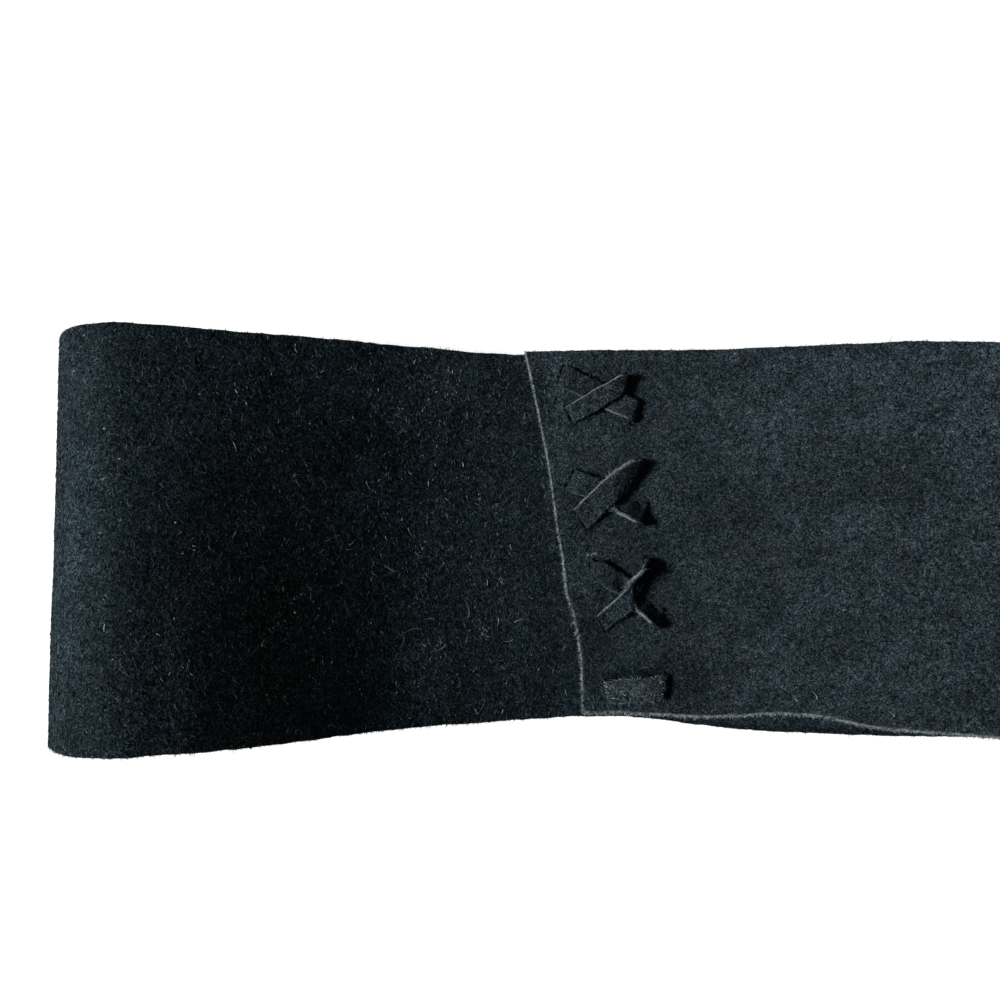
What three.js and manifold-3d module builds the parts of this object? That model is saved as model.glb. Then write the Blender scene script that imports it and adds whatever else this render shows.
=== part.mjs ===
// A wide belt of soft suede, closed into a hoop and laid down on a table.
// One long strip overlaps itself on the upper run. Three crossed stitches and one straight
// stitch of flat suede lace go through both layers and hold the overlap.
// Millimetres, +Z up, +X along the belt, +Y across it. The origin is the middle of the
// underside, where the belt rests on the table.

import * as THREE from "three";
import { mergeVertices } from "three/addons/utils/BufferGeometryUtils.js";
import Module from "manifold-3d";

const wasm = await Module();
wasm.setup();

// Driving dimensions of the strip
const STRAP_WIDTH = 100;
const STRAP_THICKNESS = 1.6;
const LAYER_GAP = 0.35;
const WIDTH_FACETS = 5;

// Driving dimensions of the lace
const LACE_THICKNESS = 1.2;
const LACE_BEND = 1.2;
const LACE_IN_SLIT = 5.4;
const LACE_BEHIND = 4.8;
const SLIT_LENGTH = 7.4;
const SLIT_GAP = 2.0;
const SLIT_LEAN = THREE.MathUtils.degToRad(8);
const LACE_CLEARANCE = 0.35;
const LACE_TURN_RADIUS = 3.6;
const TAIL_LENGTH = 5;

const HALF_WIDTH = STRAP_WIDTH / 2;
const HALF_THICKNESS = STRAP_THICKNESS / 2;
const LAYER_STEP = STRAP_THICKNESS + LAYER_GAP;

// The middle surface of the strip, followed from the hidden inner end round the hoop. The left
// fold is wider at its near edge and the right fold at its far edge.
// x is the place along the belt, lean is how much further the near edge lies in x, near and far
// are the heights of the two long edges, slide moves the strip in Y, and facets is the number of
// steps up to the next row. The near edge is the one at -Y.
const LYING = HALF_THICKNESS;
const HOOP_ROWS = [
  { name: "inner end", x: 70, lean: 0, near: 24.8, far: 30.4, slide: -2.0, facets: 3 },
  { name: "inner rise", x: 38, lean: 0, near: 17.6, far: 21.0, slide: -3.1, facets: 3 },
  { name: "inner swell", x: 14, lean: 0, near: 11.6, far: 13.6, slide: -3.6, facets: 3 },
  { name: "inner foot", x: -10, lean: 0, near: 6.9, far: 7.3, slide: -2.5, facets: 3 },
  { name: "toe", x: -24, lean: 0, near: 5.1, far: 5.1, slide: -1.1, facets: 2 },
  { name: "pinch right", x: -34, lean: 0, near: 4.45, far: 4.45, slide: -0.6, facets: 3 },
  { name: "pinch left", x: -47, lean: 0, near: 4.5, far: 4.5, slide: -0.8, facets: 3 },
  { name: "ramp foot", x: -59, lean: 0, near: 6.9, far: 6.8, slide: -1.2, facets: 2 },
  { name: "low ramp", x: -68, lean: 0, near: 9.8, far: 9.6, slide: -1.2, facets: 2 },
  { name: "lower ramp", x: -80, lean: 0, near: 14.9, far: 14.2, slide: -0.9, facets: 3 },
  { name: "middle ramp", x: -97, lean: 0, near: 24.1, far: 22.4, slide: -0.7, facets: 3 },
  { name: "upper ramp", x: -113, lean: 0, near: 35.5, far: 30.3, slide: -0.6, facets: 3 },
  { name: "high ramp", x: -127, lean: 0, near: 46.2, far: 36.2, slide: -0.4, facets: 3 },
  { name: "shoulder", x: -141, lean: 0, near: 54.2, far: 41.3, slide: 0, facets: 3 },
  { name: "left crest", x: -154, lean: 2.5, near: 58.0, far: 45.2, slide: 0.2, facets: 3 },
  { name: "left rim", x: -162.4, lean: 1.4, near: 54.7, far: 42.6, slide: 0.1, facets: 3 },
  { name: "left brow", x: -168.9, lean: 0.9, near: 47.9, far: 37.3, slide: -0.2, facets: 3 },
  { name: "left nose", x: -173.4, lean: 0.5, near: 38.4, far: 30.2, slide: -0.7, facets: 3 },
  { name: "left cheek", x: -174.4, lean: 0.5, near: 27.6, far: 21.8, slide: -1.0, facets: 3 },
  { name: "left chin", x: -172.0, lean: 0.6, near: 17.0, far: 13.5, slide: -0.9, facets: 3 },
  { name: "left jaw", x: -167.1, lean: 0.9, near: 8.3, far: 6.7, slide: -0.6, facets: 3 },
  { name: "left heel", x: -159.3, lean: 1.7, near: 2.8, far: 2.3, slide: -0.2, facets: 3 },
  { name: "table left", x: -150, lean: 2.5, near: LYING, far: LYING, slide: 0, facets: 3 },
  { name: "table right", x: 149, lean: 2, near: LYING, far: LYING, slide: 0, facets: 4 },
  { name: "right heel", x: 165, lean: 0.8, near: 4.7, far: 5.7, slide: 0, facets: 4 },
  { name: "right nose", x: 175, lean: 0, near: 17.4, far: 21.9, slide: 0, facets: 4 },
  { name: "right brow", x: 164, lean: 0.8, near: 29.4, far: 37.2, slide: -0.4, facets: 4 },
  { name: "right crest", x: 142, lean: 1.5, near: 33.6, far: 42.2, slide: -0.8, facets: 3 },
  { name: "right slope", x: 105, lean: 0.8, near: 32.2, far: 40.4, slide: -1.2, facets: 3 },
];
const OVERLAP_ROWS = 8;

// The hand-cut edges of the outer layer: the near and far edge at places along the overlap.
const OUTER_EDGES = [
  { x: -58, near: -49.7, far: 49.5 },
  { x: -38, near: -49.4, far: 50.3 },
  { x: -8, near: -50.0, far: 49.9 },
  { x: 2, near: -49.1, far: 49.9 },
  { x: 12, near: -48.4, far: 49.8 },
  { x: 26, near: -49.9, far: 49.7 },
  { x: 35, near: -51.0, far: 49.7 },
  { x: 50, near: -51.8, far: 49.2 },
  { x: 72, near: -52.1, far: 48.0 },
];

// The cut end of the outer layer, which slants across the belt with a slight wave.
const LAP_END = [
  { y: -52, x: -42.4 },
  { y: -36, x: -43.1 },
  { y: -24, x: -44.8 },
  { y: -8, x: -47.8 },
  { y: 1, x: -49.4 },
  { y: 18, x: -51.8 },
  { y: 33, x: -54.7 },
  { y: 52, x: -58.8 },
];

// The stitches in the order in which the one lace makes them. Each goes through the suede at a
// left and at a right slit, given by their middles, and crosses the front between the two.
const STITCHES = [
  { name: "falling, cross 1", left: [-48.3, 42.9], right: [-28.3, 33.3], width: 6.2, lies: "under" },
  { name: "rising, cross 2", left: [-43.6, 4.7], right: [-27.6, 16.7], width: 6.8, lies: "over" },
  { name: "falling, cross 3", left: [-40.0, -9.0], right: [-22.5, -22.2], width: 5.2, lies: "under" },
  { name: "bar", left: [-35.7, -42.8], right: [-20.8, -41.9], width: 7.0, lies: "alone" },
  { name: "rising, cross 3", left: [-37.4, -24.7], right: [-25.6, -11.3], width: 5.2, lies: "over" },
  { name: "falling, cross 2", left: [-46.4, 13.9], right: [-25.8, 5.9], width: 6.8, lies: "under" },
  { name: "rising, cross 1", left: [-45.7, 33.2], right: [-30.2, 41.6], width: 5.2, lies: "over" },
];

// How high the middle of a strand stands above the suede, from its left end to its right end.
const RESTING = LACE_CLEARANCE + LACE_THICKNESS / 2;
const STRAND_HEIGHTS = {
  under: [
    { t: 0, height: RESTING },
    { t: 0.3, height: 1.0 },
    { t: 0.5, height: 1.3 },
    { t: 0.78, height: 2.1 },
    { t: 0.87, height: 2.0 },
    { t: 1, height: RESTING },
  ],
  over: [
    { t: 0, height: RESTING },
    { t: 0.12, height: 2.5 },
    { t: 0.3, height: 3.0 },
    { t: 0.5, height: 3.3 },
    { t: 0.76, height: 4.0 },
    { t: 0.85, height: 3.6 },
    { t: 1, height: RESTING },
  ],
  alone: [
    { t: 0, height: RESTING },
    { t: 0.3, height: 1.5 },
    { t: 0.75, height: 2.7 },
    { t: 0.88, height: 2.5 },
    { t: 1, height: RESTING },
  ],
};
const STRAND_STEPS = 10;
const BEND_STEPS = 3;
const CURVE_STEPS = 4;

// A curve through the values of one column, smooth and with no overshoot between the rows.
function smoothCurve(at, values) {
  const n = at.length;
  const slope = [];
  for (let i = 0; i < n - 1; i++) slope.push((values[i + 1] - values[i]) / (at[i + 1] - at[i]));
  const tangent = [slope[0]];
  for (let i = 1; i < n - 1; i++) {
    const [before, after] = [slope[i - 1], slope[i]];
    const [left, right] = [at[i] - at[i - 1], at[i + 1] - at[i]];
    const weightBefore = (2 * right + left) / (3 * (left + right));
    tangent.push(
      before * after <= 0 ? 0 : 1 / (weightBefore / before + (1 - weightBefore) / after),
    );
  }
  tangent.push(slope[n - 2]);
  return (place) => {
    let i = 0;
    while (i < n - 2 && place > at[i + 1]) i++;
    const span = at[i + 1] - at[i];
    const t = THREE.MathUtils.clamp((place - at[i]) / span, 0, 1);
    const [t2, t3] = [t * t, t * t * t];
    return (
      values[i] * (2 * t3 - 3 * t2 + 1) +
      tangent[i] * span * (t3 - 2 * t2 + t) +
      values[i + 1] * (3 * t2 - 2 * t3) +
      tangent[i + 1] * span * (t3 - t2)
    );
  };
}

function column(rows, placeKey, valueKey) {
  return smoothCurve(
    rows.map((row) => row[placeKey]),
    rows.map((row) => row[valueKey]),
  );
}

const outerNear = column(OUTER_EDGES, "x", "near");
const outerFar = column(OUTER_EDGES, "x", "far");
const lapEndX = column(LAP_END, "y", "x");

// The outer layer lies one layer above the inner one, measured square to the inner one.
function outerRow(index) {
  const row = HOOP_ROWS[index];
  const before = HOOP_ROWS[Math.max(index - 1, 0)];
  const after = HOOP_ROWS[index + 1];
  const run = after.x - before.x;
  const rise = (after.near + after.far - before.near - before.far) / 2;
  const length = Math.hypot(run, rise);
  const [shiftX, shiftZ] = [(rise / length) * LAYER_STEP, (-run / length) * LAYER_STEP];
  const x = row.x + shiftX;
  return {
    x,
    lean: 0,
    nearY: outerNear(x),
    farY: outerFar(x),
    near: row.near + shiftZ,
    far: row.far + shiftZ,
    facets: index ? HOOP_ROWS[index - 1].facets : 0,
  };
}

// The strip keeps its width, so where it is tilted it is narrower as seen from above.
function strapRows() {
  const rows = HOOP_ROWS.map((row) => {
    const tilt = Math.hypot(row.lean, (row.near - row.far) / 2);
    const half = Math.sqrt(HALF_WIDTH ** 2 - tilt ** 2);
    return { ...row, nearY: row.slide - half, farY: row.slide + half };
  });
  for (let i = 0; i < OVERLAP_ROWS; i++) {
    rows.push({ ...outerRow(i), facets: HOOP_ROWS[i].facets });
  }
  rows[0].along = 0;
  for (let i = 1; i < rows.length; i++) {
    const [a, b] = [rows[i - 1], rows[i]];
    const rise = (b.near + b.far - a.near - a.far) / 2;
    b.along = a.along + Math.hypot(b.x - a.x, rise);
  }
  return rows;
}

const ROWS = strapRows();
const middle = {};
for (const key of ["x", "lean", "near", "far", "nearY", "farY"]) {
  middle[key] = column(ROWS, "along", key);
}
const INNER_SPAN = [ROWS[0].along, ROWS[OVERLAP_ROWS - 1].along];
const OUTER_SPAN = [ROWS[HOOP_ROWS.length].along, ROWS[ROWS.length - 1].along];

// A point of the middle surface. side runs from 0 at the near edge to 1 at the far edge.
function middlePoint(along, side) {
  return new THREE.Vector3(
    middle.x(along) + middle.lean(along) * (1 - 2 * side),
    THREE.MathUtils.lerp(middle.nearY(along), middle.farY(along), side),
    THREE.MathUtils.lerp(middle.near(along), middle.far(along), side),
  );
}

// The place along the strip, within a span, where its middle surface has the given x.
function alongAt(span, x) {
  let [low, high] = span;
  for (let i = 0; i < 40; i++) {
    const half = (low + high) / 2;
    if (middle.x(half) > x) low = half;
    else high = half;
  }
  return (low + high) / 2;
}

function layerHeight(span, x, y) {
  const along = alongAt(span, x);
  return middlePoint(along, (y + HALF_WIDTH) / STRAP_WIDTH).z;
}

const topOfOverlap = (x, y) => layerHeight(OUTER_SPAN, x, y) + HALF_THICKNESS;
const underOfOverlap = (x, y) => layerHeight(INNER_SPAN, x, y) - HALF_THICKNESS;

// The steps along the strip. The last stretch is squeezed so that each line of points ends on
// the slanting cut.
function strapSteps() {
  const steps = [];
  for (let i = 0; i < ROWS.length - 1; i++) {
    const { along, facets } = ROWS[i];
    const next = ROWS[i + 1].along;
    for (let k = 0; k < facets; k++) steps.push(along + ((next - along) * k) / facets);
  }
  steps.push(ROWS[ROWS.length - 1].along);
  return steps;
}

function placeOnStrap(step, side) {
  const squeezeFrom = alongAt(OUTER_SPAN, HOOP_ROWS[4].x);
  const squeezeTo = OUTER_SPAN[1];
  if (step <= squeezeFrom) return step;
  const y = side * STRAP_WIDTH - HALF_WIDTH;
  const end = alongAt(OUTER_SPAN, lapEndX(y));
  return squeezeFrom + ((end - squeezeFrom) * (step - squeezeFrom)) / (squeezeTo - squeezeFrom);
}

// A closed skin over rings of points, each ring in the same order, with flat ends.
function closedSkin(rings) {
  const size = rings[0].length;
  const positions = rings.flat().flatMap((p) => [p.x, p.y, p.z]);
  const faces = [];
  for (let i = 0; i < rings.length - 1; i++) {
    for (let j = 0; j < size; j++) {
      const [a, b] = [i * size + j, i * size + ((j + 1) % size)];
      faces.push(a, b, b + size, a, b + size, a + size);
    }
  }
  const last = (rings.length - 1) * size;
  const across = size / 2;
  for (let j = 0; j < across - 1; j++) {
    const [a, b, c, d] = [j, j + 1, size - 2 - j, size - 1 - j];
    faces.push(b, a, d, b, d, c);
    faces.push(last + a, last + b, last + d, last + b, last + c, last + d);
  }
  const geometry = new THREE.BufferGeometry();
  geometry.setAttribute("position", new THREE.Float32BufferAttribute(positions, 3));
  geometry.setIndex(faces);
  return geometry;
}

function strapSkin() {
  const rings = strapSteps().map((step) => {
    const [outside, inside] = [[], []];
    for (let j = 0; j <= WIDTH_FACETS; j++) {
      const side = j / WIDTH_FACETS;
      const along = placeOnStrap(step, side);
      const point = middlePoint(along, side);
      const nudge = 0.5;
      const ahead = middlePoint(Math.min(along + nudge, OUTER_SPAN[1]), side);
      const behind = middlePoint(Math.max(along - nudge, 0), side);
      const across = middlePoint(along, 1).sub(middlePoint(along, 0));
      const normal = across.cross(ahead.sub(behind)).normalize();
      outside.push(point.clone().addScaledVector(normal, HALF_THICKNESS));
      inside.push(point.clone().addScaledVector(normal, -HALF_THICKNESS));
    }
    return [...outside, ...inside.reverse()];
  });
  return closedSkin(rings);
}

function toSolid(geometry) {
  const bare = geometry.clone();
  bare.deleteAttribute("normal");
  bare.deleteAttribute("uv");
  const merged = mergeVertices(bare, 1e-4);
  return new wasm.Manifold(
    new wasm.Mesh({
      numProp: 3,
      vertProperties: merged.attributes.position.array,
      triVerts: new Uint32Array(merged.index.array),
    }),
  );
}

function toGeometry(solid) {
  const mesh = solid.getMesh();
  const geometry = new THREE.BufferGeometry();
  geometry.setAttribute("position", new THREE.BufferAttribute(mesh.vertProperties, 3));
  geometry.setIndex(new THREE.BufferAttribute(mesh.triVerts, 1));
  return geometry;
}

// A slit is a narrow slot through both layers, clear of the layer that lies on the table.
function slitCutter([x, y]) {
  const spare = 0.6;
  const low = underOfOverlap(x, y) - spare;
  const high = topOfOverlap(x, y) + spare;
  const box = new THREE.BoxGeometry(SLIT_GAP, SLIT_LENGTH, high - low);
  return toSolid(box.rotateZ(SLIT_LEAN).translate(x, y, (low + high) / 2));
}

function makeStrap() {
  const slits = STITCHES.flatMap((stitch) => [stitch.left, stitch.right]).map(slitCutter);
  return toGeometry(slits.reduce((strap, slit) => strap.subtract(slit), toSolid(strapSkin())));
}

// The direction along a slit, upwards or downwards across the belt.
const alongSlit = (sense) => [-Math.sin(SLIT_LEAN) * sense, Math.cos(SLIT_LEAN) * sense, 0];

const frontHeight = (x, y) => topOfOverlap(x, y) + RESTING;
const backHeight = (x, y) => underOfOverlap(x, y) - RESTING;

// One quarter turn of the lace between lying and standing in its slit, starting where it lies.
// inward is +1 at a left slit and -1 at a right slit.
function quarterTurn([x, y], inward, lying) {
  const points = [];
  for (let k = 0; k <= BEND_STEPS; k++) {
    const angle = ((Math.PI / 2) * k) / BEND_STEPS;
    const placeX = x + inward * LACE_BEND * (1 - Math.sin(angle));
    const z = lying.height(placeX, y) - lying.drop * LACE_BEND * (1 - Math.cos(angle));
    const half = THREE.MathUtils.lerp(lying.width, LACE_IN_SLIT, k / BEND_STEPS) / 2;
    points.push({ x: placeX, y, z, across: alongSlit(inward), half });
  }
  return points;
}

const flipped = (points) =>
  points.map((point) => ({ ...point, across: point.across.map((value) => -value) }));

// The lace going down through a slit, from the front to the back.
const ON_FRONT = { height: frontHeight, drop: 1, width: LACE_IN_SLIT };
const ON_BACK = { height: backHeight, drop: -1, width: LACE_BEHIND };
const downThrough = (slit, inward) => [
  ...quarterTurn(slit, inward, ON_FRONT),
  ...quarterTurn(slit, inward, ON_BACK).reverse(),
];
const upThrough = (slit, inward) => flipped(downThrough(slit, inward)).reverse();

// The front of a stitch from its left slit to its right slit, without the bends.
function strand({ left, right, width, lies }) {
  const rise = column(STRAND_HEIGHTS[lies], "t", "height");
  const angle = Math.atan2(right[1] - left[1], right[0] - left[0]);
  const fullHalf = width / 2 / Math.cos(angle - SLIT_LEAN);
  const [startX, endX] = [left[0] + LACE_BEND, right[0] - LACE_BEND];
  const points = [];
  for (let k = 1; k < STRAND_STEPS; k++) {
    const t = k / STRAND_STEPS;
    const x = THREE.MathUtils.lerp(startX, endX, t);
    const y = THREE.MathUtils.lerp(left[1], right[1], t);
    const fullness = Math.min(1, 4 * Math.min(t, 1 - t));
    const half = THREE.MathUtils.lerp(LACE_IN_SLIT / 2, fullHalf, fullness);
    points.push({ x, y, z: topOfOverlap(x, y) + rise(t), across: alongSlit(-1), half });
  }
  return points;
}

// A stitch made from its left slit to its right slit, or the other way.
function frontOf(stitch, startsLeft) {
  if (startsLeft) {
    return [
      ...upThrough(stitch.left, 1),
      ...strand(stitch),
      ...downThrough(stitch.right, -1),
    ];
  }
  return [
    ...upThrough(stitch.right, -1),
    ...flipped(strand(stitch)).reverse(),
    ...downThrough(stitch.left, 1),
  ];
}

// The lace lying flat behind the overlap: a flat quarter curve out of one slit, a straight run
// along Y and a flat quarter curve into the next slit of the same side.
function behind([fromX, fromY], [toX, toY], inward) {
  const heading = Math.sign(toY - fromY);
  const points = [];
  const add = (x, y, turn) => {
    const [headX, headY] = [inward * Math.cos(turn), heading * Math.sin(turn)];
    const half = LACE_BEHIND / 2;
    const slope = (backHeight(x + half, y) - backHeight(x - half, y)) / LACE_BEHIND;
    const across = [-headY, headX, -headY * slope];
    points.push({ x, y, z: backHeight(x, y), across, half });
  };
  for (let k = 1; k <= CURVE_STEPS; k++) {
    const turn = ((Math.PI / 2) * k) / CURVE_STEPS;
    const x = fromX + inward * (LACE_BEND + LACE_TURN_RADIUS * Math.sin(turn));
    const y = fromY + heading * LACE_TURN_RADIUS * (1 - Math.cos(turn));
    add(x, y, turn);
  }
  for (let k = CURVE_STEPS - 1; k >= 0; k--) {
    const turn = ((Math.PI / 2) * k) / CURVE_STEPS;
    const x = toX + inward * (LACE_BEND + LACE_TURN_RADIUS * Math.sin(turn));
    const y = toY - heading * LACE_TURN_RADIUS * (1 - Math.cos(turn));
    add(x, y, Math.PI - turn);
  }
  return points.slice(0, -1);
}

// The short end of the lace that lies behind the overlap, from its slit inwards.
function tail([x, y], inward) {
  const points = [];
  for (const distance of [LACE_BEND + 0.6, LACE_BEND + TAIL_LENGTH]) {
    const placeX = x + inward * distance;
    const z = backHeight(placeX, y);
    points.push({ x: placeX, y, z, across: alongSlit(inward), half: LACE_BEHIND / 2 });
  }
  return points;
}

function laceRoute() {
  const route = flipped(tail(STITCHES[0].left, 1)).reverse();
  STITCHES.forEach((stitch, i) => {
    const startsLeft = i % 2 === 0;
    route.push(...frontOf(stitch, startsLeft));
    const next = STITCHES[i + 1];
    if (!next) route.push(...tail(stitch.right, -1));
    else if (startsLeft) route.push(...behind(stitch.right, next.right, -1));
    else route.push(...behind(stitch.left, next.left, 1));
  });
  return route;
}

// A flat lace along its route. across is the direction of its width as seen from above.
function laceSkin(route) {
  const rings = route.map((point, i) => {
    const before = route[Math.max(i - 1, 0)];
    const after = route[Math.min(i + 1, route.length - 1)];
    const heading = new THREE.Vector3(after.x - before.x, after.y - before.y, after.z - before.z);
    const across = new THREE.Vector3(...point.across);
    const out = heading.cross(across).normalize().multiplyScalar(LACE_THICKNESS / 2);
    across.multiplyScalar(point.half);
    const middleOf = new THREE.Vector3(point.x, point.y, point.z);
    const corner = (a, b) => middleOf.clone().addScaledVector(across, a).addScaledVector(out, b);
    return [corner(1, 1), corner(-1, 1), corner(-1, -1), corner(1, -1)];
  });
  return closedSkin(rings);
}

const suede = new THREE.MeshStandardMaterial({ color: 0x1d2327, roughness: 0.96, metalness: 0 });
const laceSuede = new THREE.MeshStandardMaterial({ color: 0x262c30, roughness: 0.94, metalness: 0 });

function named(name, geometry, material) {
  const mesh = new THREE.Mesh(geometry, material);
  mesh.name = name;
  return mesh;
}

const belt = new THREE.Group();
belt.name = "suede_belt";
belt.add(named("strap", makeStrap(), suede));
belt.add(named("lace", laceSkin(laceRoute()), laceSuede));

export default belt;
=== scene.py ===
import math
from collections import namedtuple

import bpy
import numpy as np
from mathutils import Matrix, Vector


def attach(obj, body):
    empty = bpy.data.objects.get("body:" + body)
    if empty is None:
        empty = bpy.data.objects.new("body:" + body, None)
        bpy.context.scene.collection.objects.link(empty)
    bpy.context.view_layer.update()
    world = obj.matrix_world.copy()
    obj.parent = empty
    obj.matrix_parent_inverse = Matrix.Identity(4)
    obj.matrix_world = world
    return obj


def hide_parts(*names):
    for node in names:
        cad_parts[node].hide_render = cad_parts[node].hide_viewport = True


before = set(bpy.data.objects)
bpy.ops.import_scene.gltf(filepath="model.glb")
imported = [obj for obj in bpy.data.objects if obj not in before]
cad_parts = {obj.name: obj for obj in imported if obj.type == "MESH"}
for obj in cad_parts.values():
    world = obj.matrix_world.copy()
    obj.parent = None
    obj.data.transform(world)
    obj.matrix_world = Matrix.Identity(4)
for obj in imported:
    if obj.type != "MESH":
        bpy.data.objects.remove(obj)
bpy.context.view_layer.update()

MM = 0.001

STRAP_WIDTH = 100.0
STRAP_THICKNESS = 1.6
LAYER_GAP = 0.35
LAYER_STEP = STRAP_THICKNESS + LAYER_GAP
HALF_WIDTH = STRAP_WIDTH / 2
HALF_THICKNESS = STRAP_THICKNESS / 2
LYING = HALF_THICKNESS

LACE_THICKNESS = 1.2
LACE_BEND = 1.2
LACE_BEHIND = 4.8
LACE_CLEARANCE = 0.35
LACE_TURN_RADIUS = 3.6
TAIL_LENGTH = 5.0
SLIT_ROOM = 0.3
SLIT_GAP = 1.3
SLIT_CORNER = 0.6
# How far a slit is shifted to stay hidden under its strand
SLIT_SHIFT = 0.12
CUTTER_REACH = 1.0

# name, x along the belt, lean, height of the near edge, height of the far edge, slide in Y
HOOP_ROWS = [
    ("inner end", 70, 0, 24.8, 30.4, -2.0),
    ("inner rise", 38, 0, 17.6, 21.0, -3.1),
    ("inner swell", 14, 0, 11.6, 13.6, -3.6),
    ("inner foot", -10, 0, 6.9, 7.3, -2.5),
    ("toe", -24, 0, 5.1, 5.1, -1.1),
    ("pinch right", -34, 0, 4.45, 4.45, -0.6),
    ("pinch left", -47, 0, 4.5, 4.5, -0.8),
    ("ramp foot", -59, 0, 6.9, 6.8, -1.2),
    ("low ramp", -68, 0, 9.8, 9.6, -1.2),
    ("lower ramp", -80, 0, 14.9, 14.2, -0.9),
    ("middle ramp", -97, 0, 24.1, 22.4, -0.7),
    ("upper ramp", -113, 0, 35.5, 30.3, -0.6),
    ("high ramp", -127, 0, 46.2, 36.2, -0.4),
    ("shoulder", -141, 0, 54.2, 41.3, 0),
    ("left crest", -154, 2.5, 58.0, 45.2, 0.2),
    ("left rim", -162.7, 1.7, 54.7, 42.6, 0.1),
    ("left brow", -169.3, 1.3, 47.9, 37.3, -0.2),
    ("left nose", -173.85, 0.95, 38.4, 30.2, -0.7),
    ("left cheek", -174.7, 0.8, 27.6, 21.8, -1.0),
    ("left chin", -172.0, 0.6, 17.0, 13.5, -0.9),
    ("left jaw", -167.1, 0.9, 8.3, 6.7, -0.6),
    ("left heel", -159.3, 1.7, 2.8, 2.3, -0.2),
    ("table left", -150, 2.5, LYING, LYING, 0),
    ("table right", 149, 2, LYING, LYING, 0),
    ("right heel", 165, 0.8, 4.7, 5.7, 0),
    ("right nose", 175, 0, 17.4, 21.9, 0),
    ("right brow", 164, 0.8, 29.4, 37.2, -0.4),
    ("right crest", 142, 1.5, 33.6, 42.2, -0.8),
    ("right slope", 105, 0.8, 32.2, 40.4, -1.2),
]
OVERLAP_ROWS = 8
TOE_X = -24

# row of the strip, and how much further its near and far edges were cut outwards there
HAND_CUT = [
    ("middle ramp", 0.0, 0.0),
    ("high ramp", 0.0, 0.25),
    ("shoulder", 0.0, 0.45),
    ("left crest", 0.2, 0.55),
    ("left rim", 0.4, 0.65),
    ("left brow", 0.4, 0.50),
    ("left nose", 0.2, 0.05),
    ("left chin", 0.0, 0.0),
]

# x, near edge and far edge of the outer layer
OUTER_EDGES = [
    (-58, -49.7, 49.5),
    (-38, -49.4, 50.3),
    (-8, -50.0, 49.9),
    (2, -49.1, 49.9),
    (12, -48.4, 49.8),
    (26, -49.9, 49.7),
    (35, -51.0, 49.7),
    (50, -51.8, 49.2),
    (72, -52.1, 48.0),
]

# y and x of the outer layer's slanting cut end
LAP_END = [
    (-52, -42.4),
    (-36, -43.1),
    (-27, -44.2),
    (-22, -45.3),
    (-17.5, -46.9),
    (-12, -47.5),
    (-8, -47.9),
    (1, -49.4),
    (18, -51.8),
    (33, -54.7),
    (52, -58.8),
]

# Slits are leaned and strands rolled in degrees. A strand bows towards the near edge.
Stitch = namedtuple(
    "Stitch", "left right width lies lean_left lean_right roll_left roll_right bow light"
)
STITCHES = [
    # light is how light a stitch's lace is; the lower strands of the two lower crosses are
    # painted darker at 0.9, as painted shade under the strands that cross over them
    Stitch((-47.9, 42.9), (-27.7, 32.9), 6.0, "under", -21, -20, 3, 8, 0.0, 1.0),
    Stitch((-42.6, 4.0), (-27.2, 16.9), 6.8, "over high", 34, -10, 10, 28, -0.8, 1.0),
    Stitch((-39.5, -9.6), (-21.4, -23.4), 5.2, "under high", 12, -28, 4, 52, -1.1, 0.9),
    Stitch((-35.6, -43.4), (-20.2, -41.9), 6.2, "alone", 13, -7, 0, 0, 0.0, 1.15),
    Stitch((-36.9, -24.6), (-25.0, -9.3), 4.9, "over high", 33, 0, 12, 62, 1.3, 1.0),
    Stitch((-45.2, 14.3), (-25.4, 5.0), 6.4, "under high", -26, -22, 4, 44, -0.5, 0.9),
    Stitch((-45.5, 32.4), (-30.4, 40.9), 5.1, "over", 24, -8, 9, 12, 0.0, 1.0),
]
RESTING = LACE_CLEARANCE + LACE_THICKNESS / 2
# How high the middle of a strand lies over the suede, from its left slit to its right one.
STRAND_HEIGHTS = {
    "under": [(0, RESTING), (0.2, 1.1), (0.35, 0.95), (0.65, 0.95), (0.85, 1.9), (1, 1.9)],
    "under high": [(0, RESTING), (0.12, 1.6), (0.24, 1.6), (0.36, 0.95), (0.7, 0.95)]
    + [(0.86, 2.1), (1, 2.1)],
    "over": [(0, RESTING), (0.12, 1.35), (0.3, 2.0), (0.5, 2.8), (0.76, 3.6), (1, 3.4)],
    "over high": [(0, RESTING), (0.12, 1.7), (0.3, 2.8), (0.5, 3.7), (0.76, 4.2), (1, 3.6)],
    "alone": [(0, RESTING), (0.2, 1.3), (0.7, 2.4), (1, 1.9)],
}


def smooth_curve(at, values):
    """A smooth curve through the values, with no overshoot between the rows."""
    at, values = np.array(at, float), np.array(values, float)
    gap = np.diff(at)
    slope = np.diff(values) / gap
    tangent = np.empty(len(at))
    tangent[0], tangent[-1] = slope[0], slope[-1]
    for i in range(1, len(at) - 1):
        if slope[i - 1] * slope[i] <= 0:
            tangent[i] = 0
            continue
        weight = (2 * gap[i] + gap[i - 1]) / (3 * (gap[i] + gap[i - 1]))
        tangent[i] = 1 / (weight / slope[i - 1] + (1 - weight) / slope[i])

    def curve(place):
        place = np.asarray(place, float)
        i = np.clip(np.searchsorted(at, place) - 1, 0, len(at) - 2)
        t = np.clip((place - at[i]) / gap[i], 0, 1)
        return (
            values[i] * (2 * t**3 - 3 * t**2 + 1)
            + tangent[i] * gap[i] * (t**3 - 2 * t**2 + t)
            + values[i + 1] * (3 * t**2 - 2 * t**3)
            + tangent[i + 1] * gap[i] * (t**3 - t**2)
        )

    return curve


outer_x, outer_near_y, outer_far_y = zip(*OUTER_EDGES)
outer_near = smooth_curve(outer_x, outer_near_y)
outer_far = smooth_curve(outer_x, outer_far_y)
lap_end_x = smooth_curve(*zip(*LAP_END))


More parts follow.
